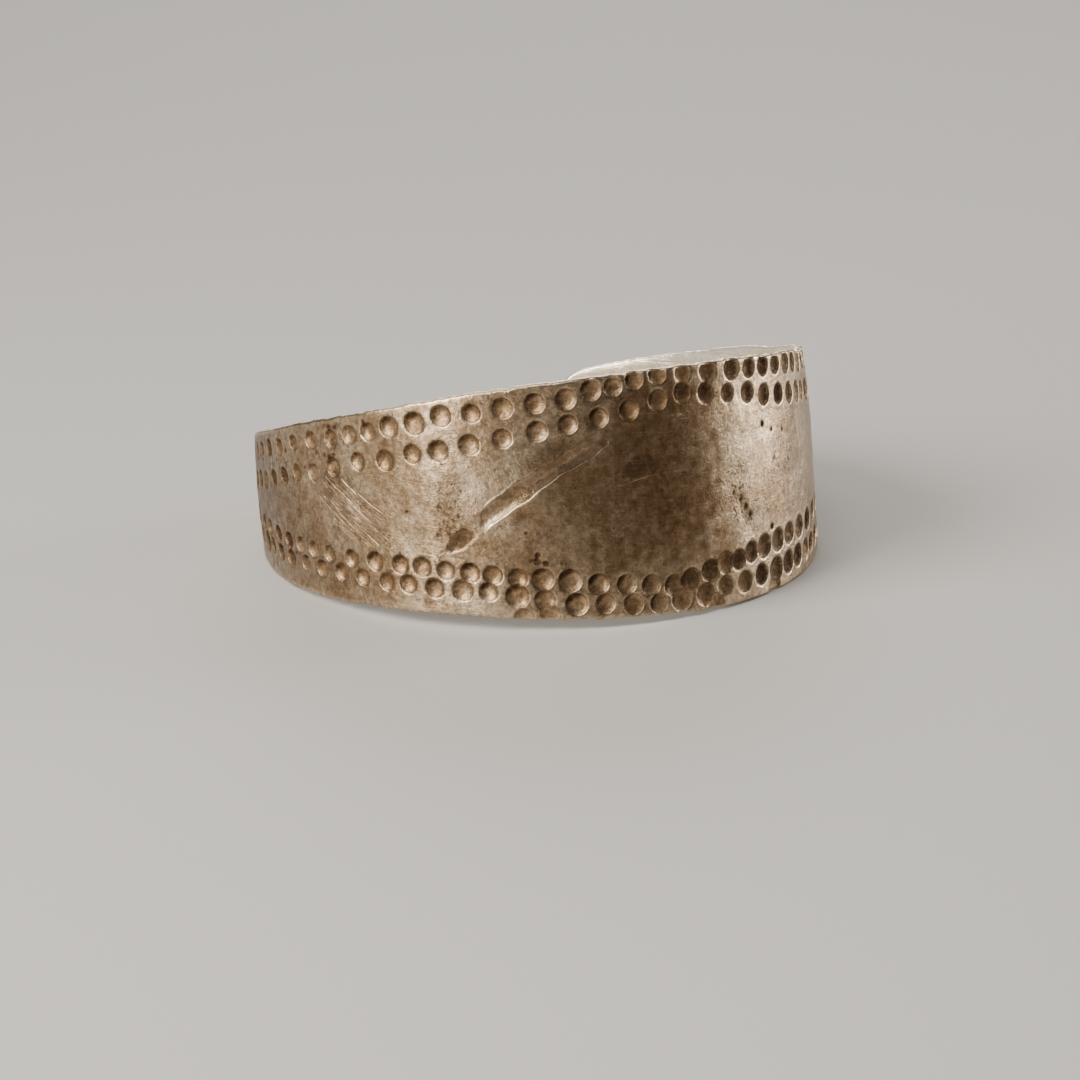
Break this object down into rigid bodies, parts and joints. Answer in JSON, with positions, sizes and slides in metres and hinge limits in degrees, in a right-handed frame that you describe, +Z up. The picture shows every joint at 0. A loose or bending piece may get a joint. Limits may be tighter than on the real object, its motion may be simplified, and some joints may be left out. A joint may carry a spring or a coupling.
{
  "type": "open arm ring",
  "caption": "Open ring of beaten silver sheet for the arm, broad at the front and tapered to two rounded ends, with punched dimples along both edges.",
  "frame": {"origin": "centre of the bounding box's underside, on the surface that the ring lies on", "axes": "+Z up from the surface the ring lies on; the widest part of the band faces -Y and the gap between the two ends faces +Y"},
  "size_m": [0.0562, 0.053, 0.0233],
  "materials": {
    "silver": null
  },
  "bodies": {
    "root": {"band": "silver"}
  },
  "joints": []
}
